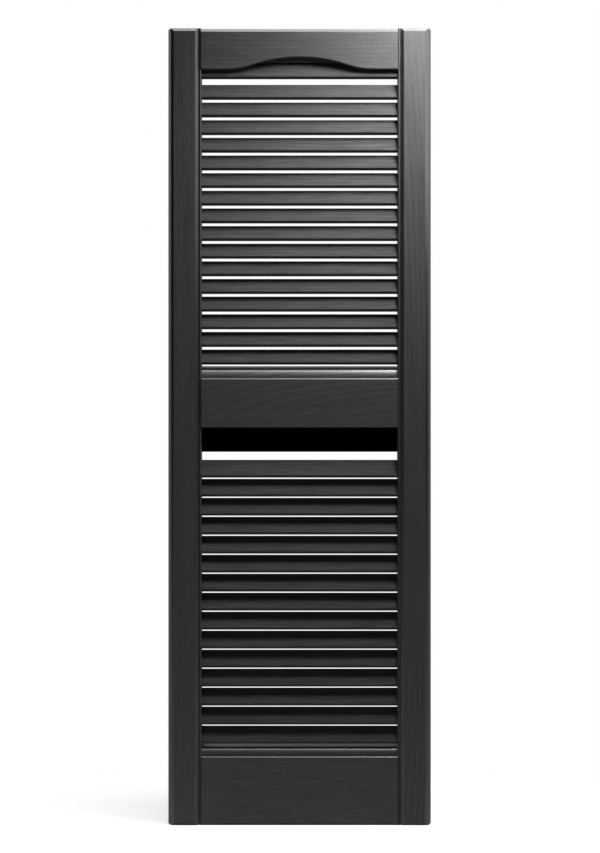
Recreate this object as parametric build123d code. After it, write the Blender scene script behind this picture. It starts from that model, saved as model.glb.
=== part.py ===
from build123d import *
from math import cos, radians, sin, sqrt
import os

# Louvred shutter: two stiles, three rails and two banks of fixed slats, jointed in timber.
# Millimetres. X runs across the width, Y from the front (minus) to the back (plus), Z up.
# The origin is the middle of the lower end. Depths are measured back from the stiles' front faces.

# Overall size
width = 368.0
height = 1112.0
thickness = 35.0

# Stiles
stile_width = 46.8
arris_on_face = 4.2
arris_depth = 3.0
foot_arris = 3.0
side_draft = 4.4
draft_end_depth = 20.0
bead_radius = 1.5
bead_depth = 2.5
quirk_width = 1.2
quirk_sink = 0.3

# Rails
rail_setback = 1.0
rail_top_drop = 1.0
top_rail_face = 56.5
middle_rail_height = 554.5
middle_rail_face = 69.5
middle_sill_rise = 16.9
bottom_rail_face = 96.2
bottom_sill_rise = 14.3
nosing_radius = 3.0
lower_arris = 1.5
sill_depth = 5.5
sill_foot = 0.5

# Arch in the top rail
apron_thickness = 8.0
arch_half_span = 103.0
arch_rise = 17.0
crown_radius = 208.0

# Slats
slat_lean = 24.0
slat_thickness = 8.0
slat_arris = 1.0
slat_depth = 6.0
upper_slat_board = 20.5
lower_slat_board = 24.4
upper_least_gap = 3.0
lower_least_gap = 1.4

# Setting out of the slats: how far the top one hangs below the top rail, the wide gap at the head
# of each bank, and how far the lowest slat stays above its sill
upper_top_drop = 12.6
upper_first_gap = 7.5
upper_last_gap = 1.7
lower_first_gap = 11.2
lower_last_gap = 2.0

# Housings, grooves and lips that take the slats
housing_depth = 8.0
slat_fit = 0.15
slat_end_gap = 0.3
groove_headroom = 2.0
upper_lip_lap = 8.0
lower_lip_drop = 33.8
lip_clearance = 0.4

# Dowels
dowel_diameter = 10.0
dowel_length = 60.0
dowel_chamfer = 1.0
dowel_fit = 0.1
dowel_end_gap = 0.3
top_dowel_inset = 12.0
dowel_inset = 20.0

# Slack for finding the edges that lie in a face
face_slack = 0.01

# Places that follow from the sizes above
front = -thickness / 2
rail_end = width / 2 - stile_width
rail_top = height - rail_top_drop
top_rail_height = rail_top - top_rail_face
middle_sill_top = middle_rail_height + middle_rail_face + middle_sill_rise
bottom_sill_top = bottom_rail_face + bottom_sill_rise


def slat_extent(board, along_board, along_thickness):
    """Reach of a leaning slat with rounded arrises, in one direction."""
    straight = (board - 2 * slat_arris) * along_board
    return straight + (slat_thickness - 2 * slat_arris) * along_thickness + 2 * slat_arris


def slat_rise(board):
    """Height of a leaning slat from its lowest to its highest point."""
    return slat_extent(board, cos(radians(slat_lean)), sin(radians(slat_lean)))


def slat_reach(board):
    """Depth of a leaning slat from front to back."""
    return slat_extent(board, sin(radians(slat_lean)), cos(radians(slat_lean)))


lip_depth = slat_depth + slat_reach(max(upper_slat_board, lower_slat_board)) + lip_clearance
upper_top_slat = top_rail_height - upper_top_drop
groove_ceiling = upper_top_slat + slat_rise(upper_slat_board) + groove_headroom
upper_lip_foot = upper_top_slat + slat_rise(upper_slat_board) - upper_lip_lap
lower_lip_foot = middle_rail_height - lower_lip_drop


def evenly_spaced(top_of_highest, lowest, board, least_gap):
    """Lowest points of as many slats as fit with the least gap between them, evenly spaced."""
    highest = top_of_highest - slat_rise(board)
    steps = int((highest - lowest) / (slat_rise(board) + least_gap))
    pitch = (highest - lowest) / steps
    return [highest - pitch * step for step in range(steps + 1)]


upper_slats = [upper_top_slat] + evenly_spaced(
    upper_top_slat - upper_first_gap,
    middle_sill_top + upper_last_gap,
    upper_slat_board,
    upper_least_gap,
)
lower_slats = evenly_spaced(
    lower_lip_foot - lower_first_gap,
    bottom_sill_top + lower_last_gap,
    lower_slat_board,
    lower_least_gap,
)

dowel_heights = {
    "top_rail": (groove_ceiling + top_dowel_inset, rail_top - top_dowel_inset),
    "middle_rail": (middle_rail_height + dowel_inset, middle_rail_height + middle_rail_face - dowel_inset),
    "bottom_rail": (dowel_inset, bottom_rail_face - dowel_inset),
}


def along_x(section, length):
    """Extrude a section that lies in the YZ plane, centred on the shutter's middle plane."""
    return extrude(section, amount=length / 2, both=True)


def profile(points):
    """Closed section in the YZ plane from (depth, height) points, some with a corner radius."""
    section = make_face(Polyline(*[point[:2] for point in points], close=True))
    for depth, level, radius in [point for point in points if len(point) == 3]:
        section = fillet(section.vertices().sort_by_distance((depth, level, 0))[0], radius)
    return Plane.YZ * Pos(front, 0) * section


def slat_section(board, lowest, fit):
    """Leaning slat in section, its lower edge to the front, grown all round by the fit."""
    height_middle = lowest + slat_rise(board) / 2
    depth_middle = slat_depth + slat_reach(board) / 2
    outline = Rectangle(slat_thickness + 2 * fit, board + 2 * fit)
    if fit == 0:
        outline = fillet(outline.vertices(), slat_arris)
    return Plane.YZ * Pos(front + depth_middle, height_middle) * Rot(0, 0, -slat_lean) * outline


def slat(board, lowest):
    length = 2 * (rail_end + housing_depth - slat_end_gap)
    return along_x(slat_section(board, lowest, 0), length)


def housings(board, heights):
    """Slanted housings for a bank of slats, cut from the stiles' inner faces."""
    length = 2 * (rail_end + housing_depth)
    return [along_x(slat_section(board, lowest, slat_fit), length) for lowest in heights]


def dowel_bores():
    """Holes for the dowels, half in the stile and half in the rail, at both ends of each rail."""
    radius = dowel_diameter / 2 + dowel_fit
    length = dowel_length + 2 * dowel_end_gap
    return [
        Pos(side * rail_end, 0, z) * Rot(0, 90, 0) * Cylinder(radius, length)
        for heights in dowel_heights.values()
        for z in heights
        for side in (-1, 1)
    ]


def stile_section():
    """Half of the shutter's plan at a stile: drafted side, bevelled face, quirk and bead."""
    outer = -width / 2
    inner = outer + stile_width
    spring = bead_depth + bead_radius
    quirk_side = inner - 2 * bead_radius
    wall = quirk_side - quirk_width
    face_start = outer + side_draft + arris_on_face
    path = Polyline(
        (quirk_side, spring),
        (quirk_side, spring + quirk_sink),
        (wall, spring + quirk_sink),
        (wall, arris_depth),
        (wall - arris_on_face, 0),
        (face_start, 0),
        (outer + side_draft, arris_depth),
        (outer, draft_end_depth),
        (outer, thickness),
        (inner, thickness),
        (inner, spring),
    )
    crown = ThreePointArc((inner, spring), (inner - bead_radius, bead_depth), (quirk_side, spring))
    return Pos(0, front) * make_face([path, crown])


def end_bevels():
    """Wedges that take the front arris off both ends of the shutter."""
    upper = profile([(0, height - arris_on_face), (arris_depth, height), (0, height)])
    lower = profile([(0, 0), (arris_depth, 0), (0, foot_arris)])
    return [along_x(upper, width), along_x(lower, width)]


def left_stile():
    blank = extrude(stile_section(), amount=height)
    cuts = end_bevels() + dowel_bores()
    cuts += housings(upper_slat_board, upper_slats) + housings(lower_slat_board, lower_slats)
    return blank - cuts


def arch_face():
    """Opening below the top rail's apron: level shoulders, two hollow curves and a round crown."""
    sum_of_radii = (arch_half_span**2 + arch_rise**2) / (2 * arch_rise)
    shoulder_radius = sum_of_radii - crown_radius
    turn_sine = arch_half_span / sum_of_radii
    turn_cosine = sqrt(1 - turn_sine**2)
    crown_top = top_rail_height + arch_rise
    bend = (crown_radius * turn_sine, crown_top - crown_radius * (1 - turn_cosine))
    half_sine = sqrt((1 - turn_cosine) / 2)
    half_cosine = sqrt((1 + turn_cosine) / 2)
    hollow = (
        arch_half_span - shoulder_radius * half_sine,
        top_rail_height + shoulder_radius * (1 - half_cosine),
    )
    foot = top_rail_height - arch_rise
    lines = [
        ThreePointArc((-bend[0], bend[1]), (0, crown_top), bend),
        ThreePointArc(bend, hollow, (arch_half_span, top_rail_height)),
        ThreePointArc((-arch_half_span, top_rail_height), (-hollow[0], hollow[1]), (-bend[0], bend[1])),
        Polyline(
            (arch_half_span, top_rail_height),
            (arch_half_span, foot),
            (-arch_half_span, foot),
            (-arch_half_span, top_rail_height),
        ),
    ]
    return Plane.XZ * make_face(lines)


def top_rail():
    """Arched apron in front, a groove that the top slat rises into, and a lip behind it."""
    face = rail_setback
    apron_back = face + apron_thickness
    section = profile(
        [
            (face, top_rail_height),
            (face, rail_top - arris_on_face),
            (face + arris_depth, rail_top),
            (thickness, rail_top),
            (thickness, upper_lip_foot),
            (lip_depth, upper_lip_foot),
            (lip_depth, groove_ceiling),
            (apron_back, groove_ceiling),
            (apron_back, top_rail_height),
        ]
    )
    arch = extrude(Pos(0, front + apron_back, 0) * arch_face(), amount=apron_thickness)
    rail = along_x(section, 2 * rail_end) - arch
    face_edges = rail.edges().filter_by_position(Axis.Y, front + face - face_slack, front + face + face_slack)
    arch_edges = face_edges.filter_by(Axis.Z, reverse=True).sort_by(Axis.Z)[:-1]
    return fillet(arch_edges, lower_arris) - dowel_bores()


def middle_rail():
    """Face with a rounded nosing, a rounded sill behind it, and a deep lip at the back below."""
    face = rail_setback
    face_top = middle_rail_height + middle_rail_face
    section = profile(
        [
            (face, middle_rail_height, lower_arris),
            (face, face_top, nosing_radius),
            (sill_depth, face_top),
            (sill_depth, middle_sill_top, middle_sill_rise - sill_foot),
            (thickness, middle_sill_top),
            (thickness, lower_lip_foot),
            (lip_depth, lower_lip_foot),
            (lip_depth, middle_rail_height),
        ]
    )
    return along_x(section, 2 * rail_end) - dowel_bores()


def bottom_rail():
    """Face with a rounded nosing and a rounded sill behind it."""
    face = rail_setback
    section = profile(
        [
            (face + arris_depth, 0),
            (face, foot_arris),
            (face, bottom_rail_face, nosing_radius),
            (sill_depth, bottom_rail_face),
            (sill_depth, bottom_sill_top, bottom_sill_rise - sill_foot),
            (thickness, bottom_sill_top),
            (thickness, 0),
        ]
    )
    return along_x(section, 2 * rail_end) - dowel_bores()


def dowel(side, level):
    pin = Cylinder(dowel_diameter / 2, dowel_length)
    ends = pin.edges().filter_by(GeomType.CIRCLE)
    return Pos(side * rail_end, 0, level) * Rot(0, 90, 0) * chamfer(ends, dowel_chamfer)


def pieces():
    """Every piece by its name."""
    made = {
        "left_stile": left_stile(),
        "top_rail": top_rail(),
        "middle_rail": middle_rail(),
        "bottom_rail": bottom_rail(),
    }
    made["right_stile"] = mirror(made["left_stile"], Plane.YZ)
    banks = {"upper": (upper_slat_board, upper_slats), "lower": (lower_slat_board, lower_slats)}
    for bank, (board, heights) in banks.items():
        for number, lowest in enumerate(heights, start=1):
            made[f"{bank}_slat_{number:02d}"] = slat(board, lowest)
    for rail, levels in dowel_heights.items():
        for number, level in enumerate(levels, start=1):
            made[f"{rail}_dowel_left_{number}"] = dowel(-1, level)
            made[f"{rail}_dowel_right_{number}"] = dowel(1, level)
    return made


os.makedirs("parts", exist_ok=True)
for name, piece in pieces().items():
    export_step(piece, f"parts/{name}.step")
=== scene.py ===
import math

import bpy
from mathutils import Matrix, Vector


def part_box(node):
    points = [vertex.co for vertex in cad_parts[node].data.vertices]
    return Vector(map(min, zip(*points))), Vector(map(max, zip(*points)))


# Camera: level, in front of the middle of the panel, with its sensor in millimetres
camera_distance = 3.4
photo_height_px = 853
metres_per_pixel = 0.001394
photo_centre_height = 0.5562
photo_centre_x = 0.0006
long_side_of_sensor = 36.0

# Floor: how far the part that takes the shadow reaches before it fades to plain white
floor_half_size = 30.0
shadow_fade_start = 0.28
shadow_fade_end = 0.62
floor_grey = (0.8, 0.8, 0.8, 1)
shadow_floor_grey = (0.6, 0.6, 0.6, 1)
shadow_floor_glow = 0.5
plain_white = (1, 1, 1, 1)

# Strength of the surrounding light on matt surfaces; gloss sees the backdrop as white
surrounding_light = 0.08

# Dark card in front of the panel, which keeps the white room out of its flat faces; angles in degrees
card_distance = 4.2
card_half_spread = 100
card_top = 70
card_steps = 12
card_black = (0.01, 0.01, 0.01, 1)

# Noise of the grain: length and width in metres, and the number and strength of its finer layers
FIBRES = {"length": 0.045, "width": 0.0018, "detail": 4.0, "roughness": 0.6}
PORES = {"length": 0.006, "width": 0.00042, "detail": 1.0, "roughness": 0.5}
TONES = {"length": 0.16, "width": 0.012, "detail": 2.0, "roughness": 0.5}
pore_seed_step = 3
tone_seed_step = 7

# Growth rings: how their lines waver, and how thin they are. A wave texture of scale 1 turns by
# wave_texture_rate radians in a metre
RING_WAVER = {"Distortion": 2.2, "Detail": 2.0, "Detail Scale": 0.7}
ring_thinness = 4.0
wave_texture_rate = 20

# Marks: the rings fade out where the tone is low, and pits lie where the pore noise is high
tone_low, tone_high = 0.3, 0.6
faint_ring_share = 0.2
pore_low, pore_high = 0.56, 0.72
pit_strength = 0.25

# Stain: darker in the marks; and painted shade: black in the recess behind the rails
dark_stain = (0.003, 0.003, 0.0032, 1)
light_stain = (0.014, 0.014, 0.0149, 1)
painted_recess_shade = (0.0005, 0.0005, 0.0005, 1)
height_weight = 0.7
tone_weight = 0.5
shade_low, shade_high = 0.15, 0.85

# Roughness on flat faces: how far low and high fibres and marks differ from the timber's own value
fibre_low, fibre_high = 0.25, 0.75
low_fibre_rougher = 0.12
high_fibre_smoother = 0.08
mark_rougher = 0.5

# Film: the finish is smooth on rounded edges, and thin and matt on sides, undersides and behind.
# Each pair holds the part of the surface normal, or the depth, where a mask is 0 and where it is 1
film_roughness = 0.30
thin_roughness = 0.9
flat_facing, turned_facing = 0.97, 0.80
plain_facing, side_facing = 0.45, 0.30
plain_tilt, underside_tilt = -0.2, -0.5
turned_front, full_front = -0.95, -0.99
front_depth, behind_depth = 0.001, 0.003
plain_specular = 0.5
# Specular level of front faces in the recess behind the rails, lowered there to paint shade
painted_shade_specular = 0.02
bump_height = 0.0003
bump_strength = 0.55
film_bump_strength = 0.03

# Bare beech of the dowels
FLECKS = {"length": 0.004, "width": 0.0005, "detail": 2.0, "roughness": 0.5}
dark_beech = (0.42, 0.27, 0.15, 1)
light_beech = (0.66, 0.48, 0.30, 1)
fleck_low, fleck_high = 0.3, 0.7
low_fleck_roughness, high_fleck_roughness = 0.7, 0.5

# Timber of each member: the axis that its grain runs along, its growth rings' heart, stretch and
# spacing, and the roughness of its flat faces
across, upward = 0, 2
TIMBERS = {
    "left_stile": {
        "grain_axis": upward, "seed": 1.3, "heart": (-0.21, -0.03, 0.40), "stretch": 22.0, "spacing": 0.0065,
        "ring_strength": 0.3, "roughness": 0.47,
    },
    "right_stile": {
        "grain_axis": upward, "seed": 5.7, "heart": (0.12, -0.03, 0.50), "stretch": 14.0, "spacing": 0.0065,
        "ring_strength": 0.4, "roughness": 0.47,
    },
    "top_rail": {
        "grain_axis": across, "seed": 2.2, "heart": (-0.1, -0.03, 1.22), "stretch": 8.0, "spacing": 0.0065,
        "ring_strength": 0.3, "roughness": 0.47,
    },
    "middle_rail": {
        "grain_axis": across, "seed": 3.9, "heart": (0.165, -0.018, 0.530), "stretch": 3.4, "spacing": 0.0095,
        "ring_strength": 0.9, "roughness": 0.47,
    },
    "bottom_rail": {
        "grain_axis": across, "seed": 8.1, "heart": (-0.32, -0.018, 0.040), "stretch": 9.0, "spacing": 0.0095,
        "ring_strength": 0.2, "roughness": 0.47,
    },
    "slat": {
        "grain_axis": across, "seed": 4.4, "heart": (-0.1, -0.05, 0.30), "stretch": 10.0, "spacing": 0.0055,
        "ring_strength": 0.25, "roughness": 0.85, "filmed": False,
    },
}

# Lamps: places and sizes in metres, spread in degrees
LAMPS = {
    "corner_high": {"at": (0.27, -0.15, 1.38), "aim": (0.17, 0.0, 0.95), "size": (0.2, 0.2), "watts": 2.0},
    "corner": {
        "at": (0.31, -0.28, 1.36), "aim": (0.17, 0.0, 1.0), "size": (0.22, 0.22), "watts": 4.1, "spread": 80,
    },
    "side": {"at": (0.9, -0.2, 1.15), "aim": (0.17, 0.0, 0.95), "size": (0.3, 0.5), "watts": 3.0},
    "overhead": {"at": (0.15, -0.72, 3.2), "aim": (0.0, 0.0, 0.6), "size": (1.2, 0.8), "watts": 58.0},
    "behind": {"at": (-1.2, 2.6, 1.9), "aim": (0.0, 0.0, 0.6), "size": (1.5, 1.5), "watts": 70.0},
}


def node(tree, kind, inputs=None, **settings):
    """Add a shader node, set its fields, and fill its inputs with values or links."""
    made = tree.nodes.new(kind)
    for name, value in settings.items():
        setattr(made, name, value)
    for name, value in (inputs or {}).items():
        if isinstance(value, bpy.types.NodeSocket):
            tree.links.new(value, made.inputs[name])
        else:
            made.inputs[name].default_value = value
    return made


def math_node(tree, operation, first, second=None, clamp=False):
    inputs = {0: first} if second is None else {0: first, 1: second}
    return node(tree, "ShaderNodeMath", inputs, operation=operation, use_clamp=clamp).outputs[0]


def remap(tree, value, low, high, out_low=0.0, out_high=1.0):
    inputs = {"Value": value, "From Min": low, "From Max": high, "To Min": out_low, "To Max": out_high}
    return node(tree, "ShaderNodeMapRange", inputs).outputs["Result"]


def mix(tree, factor, first, second, data_type="FLOAT"):
    inputs = {"Factor": factor, "A": first, "B": second}
    return node(tree, "ShaderNodeMix", inputs, data_type=data_type).outputs["Result"]


def empty_material(name):
    """A new material with an empty node tree, and that tree."""
    material = bpy.data.materials.new(name)
    material.use_nodes = True
    material.node_tree.nodes.clear()
    return material, material.node_tree


def show_surface(tree, shader):
    output = node(tree, "ShaderNodeOutputMaterial")
    tree.links.new(shader, output.inputs["Surface"])


def stretched_noise(tree, place, grain_axis, seed, length, width, detail, roughness):
    """Noise drawn out along one axis of the panel. seed moves it, so that no two members match."""
    scale = [1 / width] * 3
    scale[grain_axis] = 1 / length
    moved = {"Vector": place, "Scale": scale, "Location": (seed, seed, seed)}
    mapping = node(tree, "ShaderNodeMapping", moved)
    inputs = {"Vector": mapping.outputs[0], "Scale": 1.0, "Detail": detail, "Roughness": roughness}
    return node(tree, "ShaderNodeTexNoise", inputs).outputs["Fac"]


def growth_rings(tree, place, grain_axis, heart, stretch, spacing):
    """Thin lines of late wood, in shells round the heart, drawn out along the grain.

    The value is 1 on a line, else near 0.
    """
    scale = [1.0] * 3
    scale[grain_axis] = stretch
    drawn_out = {"Vector": place, "Location": heart, "Scale": scale}
    to_heart = node(tree, "ShaderNodeMapping", drawn_out, vector_type="TEXTURE").outputs[0]
    inputs = {"Vector": to_heart, "Scale": math.tau / (wave_texture_rate * spacing), **RING_WAVER}
    settings = {"wave_type": "RINGS", "rings_direction": "SPHERICAL", "wave_profile": "SAW"}
    waves = node(tree, "ShaderNodeTexWave", inputs, **settings).outputs["Fac"]
    return math_node(tree, "POWER", waves, ring_thinness)


def grain(tree, place, grain_axis, seed, heart, stretch, spacing, ring_strength):
    """Fibres, broad tones, and the marks that growth rings and pores leave."""
    fibres = stretched_noise(tree, place, grain_axis, seed, **FIBRES)
    pores = stretched_noise(tree, place, grain_axis, seed + pore_seed_step, **PORES)
    tones = stretched_noise(tree, place, grain_axis, seed + tone_seed_step, **TONES)
    rings = growth_rings(tree, place, grain_axis, heart, stretch, spacing)
    faint = faint_ring_share * ring_strength
    lines = math_node(tree, "MULTIPLY", rings, remap(tree, tones, tone_low, tone_high, faint, ring_strength))
    pits = math_node(tree, "MULTIPLY", remap(tree, pores, pore_low, pore_high), pit_strength)
    return fibres, tones, math_node(tree, "ADD", lines, pits)


def face_masks(tree, place):
    """How far a face turns from the front, where its film is thin, and where it is in the recess behind the
    rails, which gets painted shade.
    """
    normal = node(tree, "ShaderNodeTexCoord").outputs["Normal"]
    turn = node(tree, "ShaderNodeSeparateXYZ", {"Vector": normal})
    facing = math_node(tree, "ABSOLUTE", turn.outputs["Y"])
    turned = remap(tree, facing, flat_facing, turned_facing)
    on_side = remap(tree, facing, plain_facing, side_facing)
    beneath = remap(tree, turn.outputs["Z"], plain_tilt, underside_tilt)
    depth = node(tree, "ShaderNodeSeparateXYZ", {"Vector": place}).outputs["Y"]
    behind = remap(tree, depth, front_depth, behind_depth)
    thin = math_node(tree, "MAXIMUM", math_node(tree, "MAXIMUM", on_side, beneath), behind)
    frontal = remap(tree, turn.outputs["Y"], turned_front, full_front)
    return turned, thin, math_node(tree, "MULTIPLY", behind, frontal)


def timber(name, grain_axis, seed, heart, stretch, spacing, ring_strength, roughness, filmed=True):
    """Black satin stain over timber, with its grain along one axis of the panel."""
    material, tree = empty_material(name)
    place = node(tree, "ShaderNodeTexCoord").outputs["Object"]
    fibres, tones, marks = grain(tree, place, grain_axis, seed, heart, stretch, spacing, ring_strength)
    turned, thin, recess = face_masks(tree, place)
    height = math_node(tree, "SUBTRACT", fibres, marks)
    weighed_height = math_node(tree, "MULTIPLY", height, height_weight)
    weighed_tones = math_node(tree, "MULTIPLY", tones, tone_weight)
    shade = math_node(tree, "ADD", weighed_height, weighed_tones)
    colour = mix(tree, remap(tree, shade, shade_low, shade_high), dark_stain, light_stain, "RGBA")
    roughest = roughness + low_fibre_rougher
    smoothest = roughness - high_fibre_smoother
    rough = remap(tree, fibres, fibre_low, fibre_high, roughest, smoothest)
    rough = math_node(tree, "ADD", rough, math_node(tree, "MULTIPLY", marks, mark_rougher), clamp=True)
    specular = plain_specular
    strength = bump_strength
    if filmed:
        rough = mix(tree, turned, rough, film_roughness)
        strength = remap(tree, turned, 0.0, 1.0, bump_strength, film_bump_strength)
        # Painted shade: front faces deep in the recess behind the rails turn black and lose most of their
        # gloss
        specular = remap(tree, recess, 0.0, 1.0, plain_specular, painted_shade_specular)
        colour = mix(tree, recess, colour, painted_recess_shade, "RGBA")
    rough = mix(tree, thin, rough, thin_roughness)
    raised = {"Height": height, "Strength": strength, "Distance": bump_height}
    bump = node(tree, "ShaderNodeBump", raised).outputs["Normal"]
    inputs = {"Base Color": colour, "Roughness": rough, "Normal": bump, "Specular IOR Level": specular}
    show_surface(tree, node(tree, "ShaderNodeBsdfPrincipled", inputs).outputs[0])
    return material


def bare_dowel():
    """Bare beech with fine short flecks, for the dowels inside the joints."""
    material = bpy.data.materials.new("bare_beech")
    material.use_nodes = True
    tree = material.node_tree
    shader = tree.nodes["Principled BSDF"]
    place = node(tree, "ShaderNodeTexCoord").outputs["Object"]
    flecks = stretched_noise(tree, place, across, 0.0, **FLECKS)
    colour = mix(tree, flecks, dark_beech, light_beech, "RGBA")
    rough = remap(tree, flecks, fleck_low, fleck_high, low_fleck_roughness, high_fleck_roughness)
    tree.links.new(colour, shader.inputs["Base Color"])
    tree.links.new(rough, shader.inputs["Roughness"])
    return material


def dress_nodes(nodes):
    """Give each CAD node the timber of its member, with the grain along it."""
    timbers = {name: timber(name + "_timber", **values) for name, values in TIMBERS.items()}
    timbers["dowel"] = bare_dowel()
    for name, piece in nodes.items():
        kind = next(key for key in ("dowel", "slat", name) if key in name)
        for slot in piece.material_slots:
            slot.material = timbers[kind]
        if not piece.material_slots:
            piece.data.materials.append(timbers[kind])


def add_camera():
    data = bpy.data.cameras.new("camera")
    data.sensor_width = long_side_of_sensor
    data.lens = long_side_of_sensor * camera_distance / (photo_height_px * metres_per_pixel)
    camera = bpy.data.objects.new("camera", data)
    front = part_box("left_stile")[0].y
    camera.location = (photo_centre_x, front - camera_distance, photo_centre_height)
    camera.rotation_euler = (math.radians(90), 0, 0)
    bpy.context.scene.collection.objects.link(camera)
    bpy.context.scene.camera = camera


def add_lamp(name, at, aim, size, watts, spread=180):
    data = bpy.data.lights.new(name, "AREA")
    data.shape = "RECTANGLE"
    data.size, data.size_y = size
    data.energy = watts
    data.spread = math.radians(spread)
    lamp = bpy.data.objects.new(name, data)
    lamp.visible_camera = False
    lamp.location = at
    lamp.rotation_euler = (Vector(aim) - Vector(at)).to_track_quat("-Z", "Y").to_euler()
    bpy.context.scene.collection.objects.link(lamp)


def sees_white(tree):
    """1 where the ray comes from the camera, gloss or glass, which all see the backdrop as white."""
    path = node(tree, "ShaderNodeLightPath")
    either = math_node(tree, "ADD", path.outputs["Is Camera Ray"], path.outputs["Is Glossy Ray"], clamp=True)
    return math_node(tree, "ADD", either, path.outputs["Is Transmission Ray"], clamp=True)


def add_world():
    """White to the eye, to gloss and to glass, and a low surrounding light on matt surfaces."""
    world = bpy.data.worlds.new("studio")
    bpy.context.scene.world = world
    world.use_nodes = True
    tree = world.node_tree
    tree.nodes.clear()
    strength = remap(tree, sees_white(tree), 0.0, 1.0, surrounding_light, 1.0)
    background = node(tree, "ShaderNodeBackground", {"Color": plain_white, "Strength": strength})
    output = node(tree, "ShaderNodeOutputWorld")
    tree.links.new(background.outputs[0], output.inputs["Surface"])


def add_mesh(name, points, faces):
    mesh = bpy.data.meshes.new(name)
    mesh.from_pydata(points, [], faces)
    added = bpy.data.objects.new(name, mesh)
    bpy.context.scene.collection.objects.link(added)
    return added


def add_card():
    """Dark curved card round the front of the studio, open at the top, which the camera doesn't see."""
    turns = [math.radians(card_half_spread * (2 * k / card_steps - 1)) for k in range(card_steps + 1)]
    rises = [math.radians(card_top * k / card_steps) for k in range(card_steps + 1)]
    points = [
        (
            card_distance * math.cos(rise) * math.sin(turn),
            -card_distance * math.cos(rise) * math.cos(turn),
            card_distance * math.sin(rise),
        )
        for rise in rises
        for turn in turns
    ]
    row = len(turns)
    faces = [
        (k * row + n, k * row + n + 1, (k + 1) * row + n + 1, (k + 1) * row + n)
        for k in range(card_steps)
        for n in range(card_steps)
    ]
    card = add_mesh("card", points, faces)
    card.visible_camera = False
    card.visible_transmission = False
    card.visible_shadow = False
    material = bpy.data.materials.new("card_black")
    material.use_nodes = True
    shader = material.node_tree.nodes["Principled BSDF"]
    shader.inputs["Base Color"].default_value = card_black
    shader.inputs["Roughness"].default_value = 1.0
    card.data.materials.append(material)


def add_floor():
    """White floor: it keeps the panel's soft shadow and fades to the plain backdrop further out."""
    half = floor_half_size
    corners = [(-half, -half, 0), (half, -half, 0), (half, half, 0), (-half, half, 0)]
    floor = add_mesh("floor", corners, [(0, 1, 2, 3)])
    material, tree = empty_material("floor_white")
    place = node(tree, "ShaderNodeTexCoord").outputs["Object"]
    reach = node(tree, "ShaderNodeVectorMath", {0: place}, operation="LENGTH").outputs["Value"]
    far = remap(tree, reach, shadow_fade_start, shadow_fade_end)
    matt = node(tree, "ShaderNodeBsdfDiffuse", {"Color": floor_grey}).outputs[0]
    half_matt = node(tree, "ShaderNodeBsdfDiffuse", {"Color": shadow_floor_grey}).outputs[0]
    glow = node(tree, "ShaderNodeEmission", {"Color": plain_white, "Strength": shadow_floor_glow}).outputs[0]
    white = node(tree, "ShaderNodeEmission", {"Color": plain_white, "Strength": 1.0}).outputs[0]
    near = node(tree, "ShaderNodeAddShader", {0: half_matt, 1: glow}).outputs[0]
    seen = node(tree, "ShaderNodeMixShader", {0: far, 1: near, 2: white}).outputs[0]
    show_surface(tree, node(tree, "ShaderNodeMixShader", {0: sees_white(tree), 1: matt, 2: seen}).outputs[0])
    floor.data.materials.append(material)


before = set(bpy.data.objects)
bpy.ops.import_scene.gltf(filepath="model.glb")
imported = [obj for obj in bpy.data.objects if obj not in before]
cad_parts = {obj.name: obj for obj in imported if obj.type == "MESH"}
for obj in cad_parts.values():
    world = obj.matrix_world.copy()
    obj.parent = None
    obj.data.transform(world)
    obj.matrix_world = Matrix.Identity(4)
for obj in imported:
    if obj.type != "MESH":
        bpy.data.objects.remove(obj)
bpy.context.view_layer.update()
dress_nodes(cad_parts)
add_camera()
for lamp_name, lamp in LAMPS.items():
    add_lamp(lamp_name, **lamp)
add_world()
add_card()
add_floor()
bpy.context.scene.view_settings.view_transform = "Standard"
